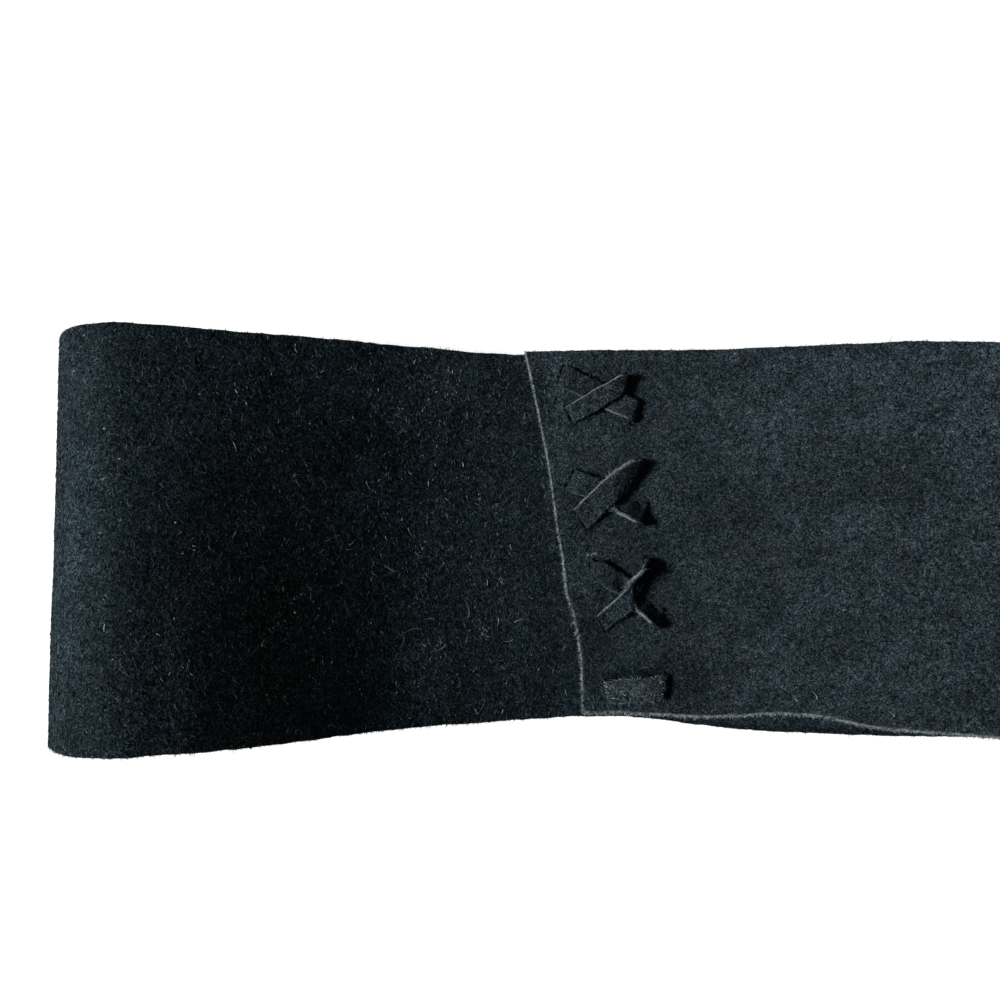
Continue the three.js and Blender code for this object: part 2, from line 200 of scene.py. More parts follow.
def strap_rows():
    """Rows of x, lean, near height, far height, near y and far y, round the whole strip."""
    rows = []
    for _, x, lean, near, far, slide in HOOP_ROWS:
        half = math.sqrt(HALF_WIDTH**2 - math.hypot(lean, (near - far) / 2) ** 2)
        rows.append([x, lean, near, far, slide - half, slide + half])
    for i in range(OVERLAP_ROWS):
        before, row, after = HOOP_ROWS[max(i - 1, 0)], HOOP_ROWS[i], HOOP_ROWS[i + 1]
        run = after[1] - before[1]
        rise = (after[3] + after[4] - before[3] - before[4]) / 2
        length = math.hypot(run, rise)
        x = row[1] + rise / length * LAYER_STEP
        up = -run / length * LAYER_STEP
        rows.append([x, 0, row[3] + up, row[4] + up, outer_near(x), outer_far(x)])
    return np.array(rows, float)


ROWS = strap_rows()
mean_height = (ROWS[:, 2] + ROWS[:, 3]) / 2
ALONG = np.concatenate([[0], np.cumsum(np.hypot(np.diff(ROWS[:, 0]), np.diff(mean_height)))])
PLACE = {row[0]: ALONG[i] for i, row in enumerate(HOOP_ROWS)}
END = ALONG[-1]
MIDDLE = [smooth_curve(ALONG, ROWS[:, k]) for k in range(6)]
cut_names, near_cuts, far_cuts = zip(*HAND_CUT)
cut_places = [PLACE[name] for name in cut_names]
cut_near = smooth_curve(cut_places, near_cuts)
cut_far = smooth_curve(cut_places, far_cuts)
INNER_SPAN = (ALONG[0], ALONG[OVERLAP_ROWS - 1])
OUTER_SPAN = (ALONG[len(HOOP_ROWS)], END)


def middle_point(along, side):
    """Points of the middle surface. side runs from 0 at the near edge to 1 at the far edge."""
    x, lean, near, far, near_y, far_y = [curve(along) for curve in MIDDLE]
    near_y, far_y = near_y - cut_near(along), far_y + cut_far(along)
    return np.stack(
        [
            x + lean * (1 - 2 * side),
            near_y + (far_y - near_y) * side,
            near + (far - near) * side,
        ],
        axis=-1,
    )


def across_strap(along, side):
    """From the near edge of the middle surface to its far edge."""
    return middle_point(along, side * 0 + 1) - middle_point(along, side * 0)


def place_at(span, x):
    """The place along the strip, within a span, where the middle surface has the given x."""
    places = np.linspace(span[0], span[1], 4000)
    return np.interp(-np.asarray(x, float), -MIDDLE[0](places), places)


def layer_height(span, x, y):
    side = (np.asarray(y, float) + HALF_WIDTH) / STRAP_WIDTH
    return middle_point(place_at(span, x), side)[..., 2]


def top_of_overlap(x, y):
    return layer_height(OUTER_SPAN, x, y) + HALF_THICKNESS


def under_of_overlap(x, y):
    return layer_height(INNER_SPAN, x, y) - HALF_THICKNESS


def smoothstep(low, high, value):
    t = np.clip((np.asarray(value, float) - low) / (high - low), 0, 1)
    return t * t * (3 - 2 * t)


def value_noise(x, y, seed):
    """Smooth noise from -1 to 1 over the plane, with features one unit wide."""
    grid = np.random.default_rng(seed).uniform(-1, 1, (64, 64))
    xi, yi = np.floor(x).astype(int), np.floor(y).astype(int)
    tx, ty = x - xi, y - yi
    tx, ty = tx * tx * (3 - 2 * tx), ty * ty * (3 - 2 * ty)
    a, b = grid[xi % 64, yi % 64], grid[(xi + 1) % 64, yi % 64]
    c, d = grid[xi % 64, (yi + 1) % 64], grid[(xi + 1) % 64, (yi + 1) % 64]
    return (a * (1 - tx) + b * tx) * (1 - ty) + (c * (1 - tx) + d * tx) * ty


def wobble(place, seed):
    """Smooth noise from -1 to 1 along a line."""
    return value_noise(place, place * 0, seed)


def to_scene(name, data):
    obj = bpy.data.objects.new(name, data)
    bpy.context.scene.collection.objects.link(obj)
    return obj


def make_object(name, points, faces):
    """A smooth mesh object from points in millimetres and quads or triangles."""
    mesh = bpy.data.meshes.new(name)
    points = np.asarray(points, np.float32) * MM
    faces = np.asarray(faces, np.int32)
    count, corners = faces.shape
    starts = np.arange(0, count * corners, corners, dtype=np.int32)
    mesh.vertices.add(len(points))
    mesh.vertices.foreach_set("co", points.ravel())
    mesh.loops.add(count * corners)
    mesh.loops.foreach_set("vertex_index", faces.ravel())
    mesh.polygons.add(count)
    mesh.polygons.foreach_set("loop_start", starts)
    mesh.polygons.foreach_set("use_smooth", np.full(count, True))
    mesh.update(calc_edges=True)
    mesh.validate()
    return to_scene(name, mesh)


def set_attribute(obj, name, values):
    attribute = obj.data.attributes.new(name, "FLOAT", "POINT")
    attribute.data.foreach_set("value", np.asarray(values, np.float32))


def unit(v):
    return v / np.maximum(np.linalg.norm(v, axis=-1, keepdims=True), 1e-9)


EDGE_ROUND = 0.5
PALE_EDGE = (0.32, 0.12)
# How far the cut edges wander
LONG_WOBBLE = 0.12
SHORT_WOBBLE = 0.10
# How far the surface rises and sinks, and sinks beside the slits
BROAD_WAVE = 0.22
SMALL_WAVE = 0.06
LEFT_DIMPLE = 0.15
RIGHT_DIMPLE = 0.3
DIMPLE_REACH = (2.6, 4.6)
# Half the distance over which a direction is measured
NUDGE = 0.4
# y on the slanting cut end, and how many times wider than elsewhere its pale rim is there; the
# rim is partly painted highlight, made wider where less of the lit rounded edge shows
PALE_RIM = [(-52, 2.3), (-24, 2.4), (-12, 1.95), (-4, 1.3), (8, 1.0), (24, 0.65), (40, 1.0)]

# Places where the suede is painted darker or lighter, some of them painted shadow, shade and
# light, as marked:
# name, x, y, reach in x, reach in y, and how light it is there
PAINTED_DARKER_AND_LIGHTER = [
    # Painted light on the left fold, which faces the lamp:
    ("left fold", -172, 0, 10, 70, 1.35),
    ("beside the left fold", -152, 0, 11, 70, 1.10),
    ("near corner of the fold", -143, -36, 7, 15, 1.30),
    ("upper ramp", -132, -12, 12, 32, 0.78),
    ("low on the ramp", -106, -38, 12, 12, 0.85),
    ("spot on the ramp", -100, 2, 8, 15, 1.35),
    ("lower ramp", -88, 0, 9, 60, 1.12),
    ("far edge of the ramp", -94, 40, 23, 11, 1.35),
    ("near edge of the ramp", -86, -37, 8, 8, 1.35),
    ("before the cut end", -74, 6, 17, 70, 1.42),
    ("far corner of the cut end", -49, 44, 7, 10, 1.35),
    ("between the upper crosses", -39, 25, 7, 5, 1.25),
    ("beside the upper crosses", -50.3, 24, 3.3, 30, 1.50),
    ("left of the bottom cross", -43, -11, 5, 6, 1.35),
    ("beside the bar", -41, -35, 4, 9, 0.80),
    # The next three places are painted shadows, of the bar and of the bottom cross:
    ("above the bar", -28, -38.8, 8, 1.4, 0.30),
    ("right of the bottom cross", -18, -19, 7, 6, 0.75),
    ("right of the bar", -17, -39, 8, 7, 0.58),
    ("middle of the overlap", -2, 6, 9, 10, 0.82),
    ("hollow spot", 5, -18, 6, 5, 0.68),
    ("far spot", 25, 35, 6, 5, 0.80),
    ("low spot", 23, -28, 8, 7, 0.78),
    ("light spot", 31, 2, 9, 5, 1.30),
    ("right far rise", 52, 36, 24, 15, 1.36),
    ("right dark spot", 66, 12, 5, 7, 0.80),
    # Painted shade on the under layer, below the outer layer's near edge:
    ("near edge of the under layer", 14, -53.8, 34, 2.4, 0.54),
]
# Where the deep shade on the ramp is painted neutral instead of blue: x, y, reach in x, reach in
# y
NEUTRAL_SHADE_PLACE = (-122, -18, 18, 38)


def nearness(points, x, y, reach_x, reach_y):
    """1 in the middle of a place on the strap, falling raggedly to 0 round it."""
    ragged = value_noise(points[..., 0] / 7, points[..., 1] / 7, 41) * 0.35
    away = ((points[..., 0] - x) / reach_x) ** 2 + ((points[..., 1] - y) / reach_y) ** 2
    return smoothstep(1.9, 0.4, away + ragged)


def painted_lightness(points):
    """How light the suede is painted at points of the strap, from the darker and lighter places.
    """
    share = np.ones(points.shape[:-1])
    for _, *place, light in PAINTED_DARKER_AND_LIGHTER:
        share = share * (1 + (light - 1) * nearness(points, *place))
    return share


pale_width = smooth_curve(*zip(*PALE_RIM))


def surface_waves(points):
    """How far the soft suede rises or sinks from its even course, in millimetres."""
    x, y, z = points[..., 0], points[..., 1], points[..., 2]
    broad = value_noise(x / 31 + 7.3, y / 27 + 3.1, 11)
    small = value_noise(x / 9 + 1.7, y / 8 + 5.9, 12)
    waves = smoothstep(1.3, 4.2, z) * (BROAD_WAVE * broad + SMALL_WAVE * small)
    for stitch in STITCHES:
        for (sx, sy), depth in ((stitch.left, LEFT_DIMPLE), (stitch.right, RIGHT_DIMPLE)):
            away = ((x - sx) / DIMPLE_REACH[0]) ** 2 + ((y - sy) / DIMPLE_REACH[1]) ** 2
            waves = waves - depth * np.exp(-away) * smoothstep(2.5, 4, z)
    return waves


def strap_stations():
    """Places along the strip, close together where it bends or shows its nap."""
    left, right = PLACE["table left"], PLACE["table right"]
    spacing = smooth_curve(
        [0, 60, left - 8, left + 12, right - 12, right + 8, END],
        [2.2, 1.3, 1.5, 8.0, 8.0, 1.7, 1.1],
    )
    places = [0.0]
    while places[-1] < END:
        places.append(places[-1] + float(spacing(places[-1])))
    places = np.array(places) * END / places[-1]
    ends = np.array([0.06, 0.16, 0.3, 0.5, 0.8])
    return np.unique(np.concatenate([places, ends, END - ends]))


def side_stations():
    """Places across the strip, close together at the two rounded cut edges."""
    edge = np.array([0, 0.05, 0.14, 0.28, 0.5, 0.9])
    inside = np.linspace(2.2, STRAP_WIDTH - 2.2, 60)
    return np.concatenate([edge, inside, STRAP_WIDTH - edge[::-1]]) / STRAP_WIDTH


def thickness_share(distance):
    """How thick the strap is near a cut edge, as a share of its full thickness."""
    t = np.clip(distance / EDGE_ROUND, 0, 1)
    return np.sqrt(1 - (1 - t) ** 2)


SQUEEZE_FROM = place_at(OUTER_SPAN, TOE_X)


def squeeze(y):
    """How much the last stretch is squeezed at y, to end on the slanting cut."""
    end = place_at(OUTER_SPAN, lap_end_x(y))
    return (end - SQUEEZE_FROM) / (OUTER_SPAN[1] - SQUEEZE_FROM)


def on_strap(station, side):
    """Squeezes the last stretch, so that each line of points ends on the slanting cut."""
    scale = squeeze(side * STRAP_WIDTH - HALF_WIDTH)
    squeezed = SQUEEZE_FROM + scale * (station - SQUEEZE_FROM)
    return np.where(station <= SQUEEZE_FROM, station, squeezed)


def station_on_overlap(x, y):
    """The station whose line of points goes through x and y on the outer layer."""
    along = place_at(OUTER_SPAN, x)
    stretched = SQUEEZE_FROM + (along - SQUEEZE_FROM) / squeeze(y)
    return np.where(along <= SQUEEZE_FROM, along, stretched)


def strap_surface(station, side):
    """Middle points and outward normals of the strip at stations and sides."""
    along = on_strap(station, side)
    point = middle_point(along, side)
    ahead = middle_point(np.minimum(along + NUDGE, END), side)
    behind = middle_point(np.maximum(along - NUDGE, 0), side)
    across = across_strap(along, side)
    normal = unit(np.cross(across, ahead - behind))
    long_wobble = value_noise(along / 4.3, side * 3, 21) * LONG_WOBBLE
    short_wobble = value_noise(along / 1.2, side * 3, 22) * SHORT_WOBBLE
    near_edge = smoothstep(0.06, 0, side) - smoothstep(0.94, 1, side)
    point = point + unit(across) * ((long_wobble + short_wobble) * near_edge)[..., None]
    return point + normal * surface_waves(point)[..., None], normal


def make_strap():
    stations, sides = strap_stations(), side_stations()
    station, side = np.meshgrid(stations, sides, indexing="ij")
    point, normal = strap_surface(station, side)
    to_side = np.minimum(side, 1 - side) * STRAP_WIDTH
    to_end = np.minimum(station, END - station)
    share = thickness_share(to_side) * thickness_share(to_end)
    offset = normal * (HALF_THICKNESS * share)[..., None]
    n, m = station.shape
    inside = (share > 0).ravel()
    outer_index = np.arange(n * m)
    inner_index = np.where(inside, n * m + np.cumsum(inside) - 1, outer_index).reshape(n, m)
    outer_index = outer_index.reshape(n, m)
    outside = (point + offset).reshape(-1, 3)
    points = np.concatenate([outside, (point - offset).reshape(-1, 3)[inside]])

    def quads(index):
        corners = [index[:-1, :-1], index[:-1, 1:], index[1:, 1:], index[1:, :-1]]
        return np.stack(corners, -1).reshape(-1, 4)

    faces = np.concatenate([quads(outer_index)[:, ::-1], quads(inner_index)])
    obj = make_object("strap_suede", points, faces)

    def both(values):
        return np.concatenate([values.ravel(), values.ravel()[inside]])

    in_outer = smoothstep(PLACE["right heel"], PLACE["right nose"], station)
    # The outer layer's near cut edge is pale in full and its far edge hardly: partly the paler
    # cut suede, partly painted highlight on the edge that faces the light.
    near_side = np.where(side < 0.5, 1.0, 0.12)
    frayed = 1 + 0.35 * wobble(station / 1.6, 43) + 0.3 * wobble(station / 7, 44)
    broad = np.where(side < 0.5, 1 + 1.5 * in_outer * frayed, 1.0)
    edge = smoothstep(*PALE_EDGE, to_side / broad) * (0.06 + 0.94 * in_outer * near_side)
    y = point[..., 1]
    to_cut = np.minimum(station, on_strap(END, side) - on_strap(station, side))
    # The cut end's pale rim is made wider where less of its lit rounding shows, as painted
    # highlight.
    wider = pale_width(y) + 0.3 * wobble(y / 1.3, 42)
    end = smoothstep(*PALE_EDGE, to_cut / wider) * (0.15 + 0.85 * in_outer)
    seen = smoothstep(-0.5, 0.0, normal[..., 2])
    looks = {
        "pale": np.maximum(edge, end),
        "fine": smoothstep(PLACE["left heel"], PLACE["table left"] + 40, station),
        # Painted darker and lighter places, some of them painted shadow, shade and light
        "shade": 1 + (painted_lightness(point) - 1) * seen,
        "neutral_shade": nearness(point, *NEUTRAL_SHADE_PLACE) * seen,
    }
    for name, values in looks.items():
        set_attribute(obj, name, both(values))
    return obj


def along_slit(sense, lean):
    return np.array([-math.sin(math.radians(lean)), math.cos(math.radians(lean)), 0]) * sense


def back_height(x, y):
    return float(under_of_overlap(x, y)) - RESTING


def place_of_lace(point, across, half, roll=0.0, look=(-1, 0.0)):
    """One place of the lace. look gives the stitch, or -1 behind, and how far along it is."""
    return {"point": point, "across": across, "half": half, "roll": roll, "look": look}


def flipped(places):
    return [{**p, "across": -p["across"], "roll": -p["roll"]} for p in places]


def back_turn(slit, lean, inward, width):
    """Places of the lace from where it lies behind the overlap to standing in its slit."""
    places = []
    for angle in np.linspace(0, math.pi / 2, 5):
        x = slit[0] + inward * LACE_BEND * (1 - math.sin(angle))
        z = back_height(x, slit[1]) + LACE_BEND * (1 - math.cos(angle))
        half = (LACE_BEHIND + (width - LACE_BEHIND) * angle / (math.pi / 2)) / 2
        places.append(place_of_lace([x, slit[1], z], along_slit(inward, lean), half))
    return places


# Where a rising and a falling strand roll over
TWIST_SPAN = {1: (0.45, 0.82), -1: (0.46, 0.70)}


def on_strand(index, away, t, standing=0.0):
    """One place of a stitch. away is how far it is right of the left slit, and standing is
    how far the lace has bent down into a slit, as an angle."""
    row = STITCHES[index]
    slope = (row.right[1] - row.left[1]) / (row.right[0] - row.left[0])
    angle = math.atan(slope)
    rising = math.copysign(1, angle)
    lying = math.cos(standing)
    lean = row.lean_left + (row.lean_right - row.lean_left) * t
    full = row.width / 2 / math.cos(angle - math.radians(lean))
    half = row.width / 2 + (full - row.width / 2) * min(1, 9 * t, 9 * (1 - t))
    twist = float(smoothstep(*TWIST_SPAN[rising], t))
    roll = math.radians(row.roll_left + (row.roll_right - row.roll_left) * twist) * lying
    # The raised edge keeps to its straight line while the strand rolls.
    shift = rising * row.width / 2 * (1 - math.cos(roll)) - row.bow * math.sin(math.pi * t)
    x = row.left[0] + away - shift * math.sin(angle)
    y = row.left[1] + away * slope + shift * math.cos(angle)
    rise = float(smooth_curve(*zip(*STRAND_HEIGHTS[row.lies]))(t))
    height = RESTING + (rise - RESTING) * lying - LACE_BEND * (1 - lying)
    point = [x, y, float(top_of_overlap(x, y)) + height]
    return place_of_lace(point, along_slit(-1, lean), half, rising * roll, (index, t))


def strand(index):
    """The front of a stitch, standing up out of its left slit and down into its right one."""
    row = STITCHES[index]
    run = row.right[0] - row.left[0]
    turn = np.linspace(math.pi / 2, 0, 6)
    places = []
    for angle in turn:
        places.append(on_strand(index, LACE_BEND * (1 - math.sin(angle)), 0.0, angle))
    for t in np.linspace(0, 1, 31)[1:-1]:
        places.append(on_strand(index, LACE_BEND + (run - 2 * LACE_BEND) * t, t))
    for angle in turn[::-1]:
        places.append(on_strand(index, run - LACE_BEND * (1 - math.sin(angle)), 1.0, angle))
    return places


def behind(start, stop, inward):
    """The lace lying flat behind the overlap, between two slits of the same side."""
    heading = math.copysign(1, stop[1] - start[1])
    places = []

    def add(x, y, turn):
        head_x, head_y = inward * math.cos(turn), heading * math.sin(turn)
        half = LACE_BEHIND / 2
        slope = (back_height(x + half, y) - back_height(x - half, y)) / LACE_BEHIND
        across = np.array([-head_y, head_x, -head_y * slope])
        places.append(place_of_lace([x, y, back_height(x, y)], across, half))

    turns = np.linspace(0, math.pi / 2, 6)[1:]
    leaving = [(start, 1, turn, turn) for turn in turns]
    arriving = [(stop, -1, turn, math.pi - turn) for turn in turns[::-1]]
    for slit, sign, turn, facing in leaving + arriving:
        reach = LACE_BEND + LACE_TURN_RADIUS * math.sin(turn)
        sink = LACE_TURN_RADIUS * (1 - math.cos(turn))
        add(slit[0] + inward * reach, slit[1] + sign * heading * sink, facing)
    return places


def tail(slit, lean, inward):
    places = []
    for distance in (LACE_BEND + 0.6, LACE_BEND + TAIL_LENGTH):
        x = slit[0] + inward * distance
        point = [x, slit[1], back_height(x, slit[1])]
        places.append(place_of_lace(point, along_slit(inward, lean), LACE_BEHIND / 2))
    return places


def lace_route():
    first, last = STITCHES[0], STITCHES[-1]
    route = flipped(tail(first.left, first.lean_left, 1))[::-1]
    for i, row in enumerate(STITCHES):
        left_turn = back_turn(row.left, row.lean_left, 1, row.width)
        right_turn = back_turn(row.right, row.lean_right, -1, row.width)
        if i % 2 == 0:
            route += flipped(left_turn) + strand(i) + right_turn[::-1]
        else:
            route += flipped(right_turn) + flipped(strand(i))[::-1] + left_turn[::-1]
        if row is last:
            route += tail(row.right, row.lean_right, -1)
        elif i % 2 == 0:
            route += behind(row.right, STITCHES[i + 1].right, -1)
        else:
            route += behind(row.left, STITCHES[i + 1].left, 1)
    return route


LACE_SIDE = 15
LACE_STEP = 0.4
# How much the lace is cupped, and how high its lumps are
LACE_CUP = 0.12
LACE_LUMPS = 0.08


def lace_frames():
    """Close places along the lace, with its directions, half width, stitch and progress."""
    route = lace_route()
    middle = np.array([p["point"] for p in route], float)
    at = np.concatenate([[0], np.cumsum(np.linalg.norm(np.diff(middle, axis=0), axis=1))])
    new_at = np.linspace(0, at[-1], int(at[-1] / LACE_STEP))

    def resample(values):
        values = np.asarray(values, float).reshape(len(at), -1)
        curves = [smooth_curve(at, values[:, k])(new_at) for k in range(values.shape[1])]
        return np.stack(curves, 1)

    point = resample(middle)
    across = unit(resample([p["across"] for p in route]))
    half = resample([p["half"] for p in route])[:, 0]
    roll = resample([p["roll"] for p in route])[:, 0]
    progress = resample([p["look"][1] for p in route])[:, 0]
    nearest = np.clip(np.searchsorted(at, new_at), 0, len(at) - 1)
    stitch = np.array([p["look"][0] for p in route])[nearest]
    heading = unit(np.gradient(point, axis=0))
    out = unit(np.cross(heading, across))
    cos, sin = np.cos(roll)[:, None], np.sin(roll)[:, None]
    across, out = across * cos + out * sin, out * cos - across * sin
    return new_at, point, across, half, out, stitch, progress


def make_lace():
    at, point, across, half, out, stitch, progress = lace_frames()
    half = half * (1 + 0.04 * wobble(at / 3.1, 31)) + 0.10 * wobble(at / 0.9, 32)
    s = np.linspace(-1, 1, LACE_SIDE)
    s = np.sign(s) * np.abs(s) ** 0.55
    rounding = 1 - 0.3 * smoothstep(0.9, 1.0, np.abs(s))
    ring_side = np.concatenate([s, s[::-1]])
    ring_out = np.concatenate([rounding, -rounding[::-1]])
    cup = LACE_CUP * (ring_side**2 - 0.4)
    lumps = LACE_LUMPS * value_noise(at[:, None] / 1.5 + 3, ring_side[None] * 3 + 9, 33)
    reach = ring_out[None] * LACE_THICKNESS / 2 + lumps - cup[None]
    points = (
        point[:, None]
        + across[:, None] * (ring_side[None] * half[:, None])[..., None]
        + out[:, None] * reach[..., None]
    )
    n, m = points.shape[:2]
    index = np.arange(n * m).reshape(n, m)
    turned = np.roll(index, -1, axis=1)
    faces = np.stack([index[:-1], turned[:-1], turned[1:], index[1:]], -1).reshape(-1, 4)
    caps = []
    for ring, order in ((index[0], 1), (index[-1], -1)):
        for j in range(LACE_SIDE - 1):
            caps.append([ring[j], ring[m - 1 - j], ring[m - 2 - j], ring[j + 1]][::order])
    obj = make_object("lace_suede", points.reshape(-1, 3), np.concatenate([faces, caps]))
    set_attribute(obj, "pale", lace_pale(across, ring_side, stitch, progress).ravel())
    set_attribute(obj, "fine", np.full(n * m, 1.0))
    # How light each stitch's lace is, with painted shade on the lower strands of the two lower
    # crosses
    light = np.array([row.light for row in STITCHES] + [0.9])[stitch]
    set_attribute(obj, "shade", np.repeat(light, m))
    return obj


def lace_pale(across, ring_side, stitch, progress):
    """How pale the lace is: its cut edges on the side that faces the light."""
    lies = np.array([row.lies.split()[0] for row in STITCHES] + ["behind"])[stitch]
    t = progress[:, None]
    up_side = np.sign(across[:, 1])[:, None] * ring_side[None]
    within = smoothstep(-0.03, 0.04, t) * smoothstep(1.0, 0.94, t)
    over = smoothstep(0.90, 0.97, up_side) * within
    under = smoothstep(0.90, 0.97, -up_side) * within * (0.3 + 0.4 * smoothstep(0.45, 0.6, t))
    alone = 0.14 * smoothstep(0.9, 0.97, np.abs(up_side))
    pale = np.where((lies == "over")[:, None], over, 0.1 * smoothstep(0.9, 1, up_side))
    pale = np.where((lies == "under")[:, None], under, pale)
    return np.where((lies == "alone")[:, None], alone, pale)


def slit_outline(x, y, lean, length):
    """The rounded outline of a slit, as seen from above."""
    cos, sin = math.cos(math.radians(lean)), math.sin(math.radians(lean))
    outline = []
    for sign_u, sign_v, start in ((1, 1, 0), (-1, 1, 90), (-1, -1, 180), (1, -1, 270)):
        for angle in np.radians(start + np.linspace(0, 90, 4)):
            u = sign_u * (SLIT_GAP / 2 - SLIT_CORNER) + SLIT_CORNER * math.cos(angle)
            v = sign_v * (length / 2 - SLIT_CORNER) + SLIT_CORNER * math.sin(angle)
            outline.append([x + u * cos - v * sin, y + u * sin + v * cos])
    return outline


def cut_slits(strap):
    """Cuts the slits that the lace goes through, as narrow slots through both layers."""
    points, faces = [], []
    for row in STITCHES:
        for (x, y), lean in ((row.left, row.lean_left), (row.right, row.lean_right)):
            low = float(under_of_overlap(x, y)) - CUTTER_REACH
            high = float(top_of_overlap(x, y)) + CUTTER_REACH
            hidden = SLIT_SHIFT if x == row.left[0] else -SLIT_SHIFT
            outline = slit_outline(x + hidden, y, lean, row.width + SLIT_ROOM)
            base, count = len(points), len(outline)
            lower = list(range(base, base + count))
            upper = list(range(base + count, base + 2 * count))
            for z in (low, high):
                points += [[px * MM, py * MM, z * MM] for px, py in outline]
            for j in range(count):
                k = (j + 1) % count
                faces.append([lower[j], lower[k], upper[k], upper[j]])
            faces += [lower[::-1], upper]
    mesh = bpy.data.meshes.new("slit_cutters")
    mesh.from_pydata(points, [], faces)
    cutter = to_scene("slit_cutters", mesh)
    modifier = strap.modifiers.new("slits", "BOOLEAN")
    modifier.operation = "DIFFERENCE"
    modifier.solver = "MANIFOLD"
    modifier.object = cutter
    depsgraph = bpy.context.evaluated_depsgraph_get()
    cut = bpy.data.meshes.new_from_object(
        strap.evaluated_get(depsgraph), preserve_all_data_layers=True, depsgraph=depsgraph
    )
    strap.modifiers.clear()
    uncut = strap.data
    strap.data = cut
    bpy.data.meshes.remove(uncut)
    bpy.data.objects.remove(cutter)
    bpy.data.meshes.remove(mesh)


ABOVE_TABLE = 0.02
# How deep the nap is rooted
ROOT_DEPTH = 0.04
# How far a fibre has sunk and narrowed at its tip
FIBRE_SAG = 0.55
FIBRE_TAPER = 0.6
# The tone of the fibres that lie in the dark
DARK_TONES = (0, 0.015)
# The nap is lighter and more even towards the left fold: from x, to x, evener by, lighter by
CALM_NAP = (-118, -150, 0.3, 0.15)


def fibre_mesh(name, segments, root, direction, normal, length, width, lift, curl, twist, tone):
    """Flat fibres that start at their roots and lie over the surface, each with a tone."""
    count = len(root)
    side = unit(np.cross(normal, direction))
    t = np.linspace(0, 1, segments + 1)
    forward = (t * length[:, None])[..., None] * direction[:, None]
    bent = ((t**2) * (curl * length)[:, None])[..., None] * side[:, None]
    height = (lift * length)[:, None]
    raised = ((t - FIBRE_SAG * t**2) * height)[..., None] * normal[:, None]
    middle = root[:, None] + forward + bent + raised
    flat = side * np.cos(twist)[:, None] + normal * np.sin(twist)[:, None]
    taper = (1 - FIBRE_TAPER * t)[None, :, None] * (width / 2)[:, None, None]
    points = np.stack([middle - flat[:, None] * taper, middle + flat[:, None] * taper], 2)
    points[..., 2] = np.maximum(points[..., 2], ABOVE_TABLE)
    per = 2 * (segments + 1)
    base = (np.arange(count) * per)[:, None] + np.arange(segments)[None] * 2
    faces = np.stack([base, base + 1, base + 3, base + 2], -1).reshape(-1, 4)
    obj = make_object(name, points.reshape(-1, 3), faces)
    set_attribute(obj, "tone", np.repeat(tone, per))
    set_attribute(obj, "neutral_shade", np.repeat(nearness(root, *NEUTRAL_SHADE_PLACE), per))
    return obj


def lay_on_strap(station, side, face, angle):
    """Points just under the strap's outer or inner face, with directions lying on the face."""
    point, normal = strap_surface(station, side)
    normal = normal * face
    root = point + normal * (HALF_THICKNESS - ROOT_DEPTH)
    far = across_strap(station, side)
    across = unit(far - normal * (far * normal).sum(-1, keepdims=True))
    ahead = np.cross(normal, across)
    direction = ahead * np.cos(angle)[:, None] + across * np.sin(angle)[:, None]
    return root, direction, normal


def nap_fibres(name, seed, count, span, look, face=1):
    """Nap on one face of the strap, between two places along the strip."""
    rng = np.random.default_rng(seed)
    station = rng.uniform(span[0], span[1], count)
    side = rng.uniform(look["margin"], 1 - look["margin"], count)
    swirl = value_noise(station / 9, side * 11, seed + 1) * 1.1
    angle = look["lay"] + swirl + rng.normal(0, look["spread"], count)
    root, direction, normal = lay_on_strap(station, side, face, angle)
    clump = value_noise(station / 1.9, side * 53, seed + 2)
    calm_from, calm_to, evener, lighter = CALM_NAP
    calm = smoothstep(calm_from, calm_to, root[:, 0])
    tone_spread = look["tone_spread"] * (1 - evener * calm)
    log_tone = rng.normal(look["tone"] + lighter * calm, tone_spread) + 0.4 * clump
    # Fibre tones follow the painted darker and lighter places too.
    tone = np.exp(log_tone) * painted_lightness(root) ** look["lightness_power"]
    in_the_dark = rng.random(count) < look["dark_share"]
    tone = np.where(in_the_dark, rng.uniform(*DARK_TONES, count), tone)
    spread = np.minimum(rng.lognormal(0, 0.4, count), 1.9)
    return fibre_mesh(
        name,
        look["segments"],
        root=root,
        direction=direction,
        normal=normal,
        length=look["length"] * spread,
        width=look["width"] * rng.uniform(0.6, 1.4, count),
        lift=rng.uniform(*look["lift"], count),
        curl=rng.normal(0, look["curl"], count),
        twist=rng.normal(0, 0.6, count),
        tone=np.clip(tone, 0, look["palest"]),
    )


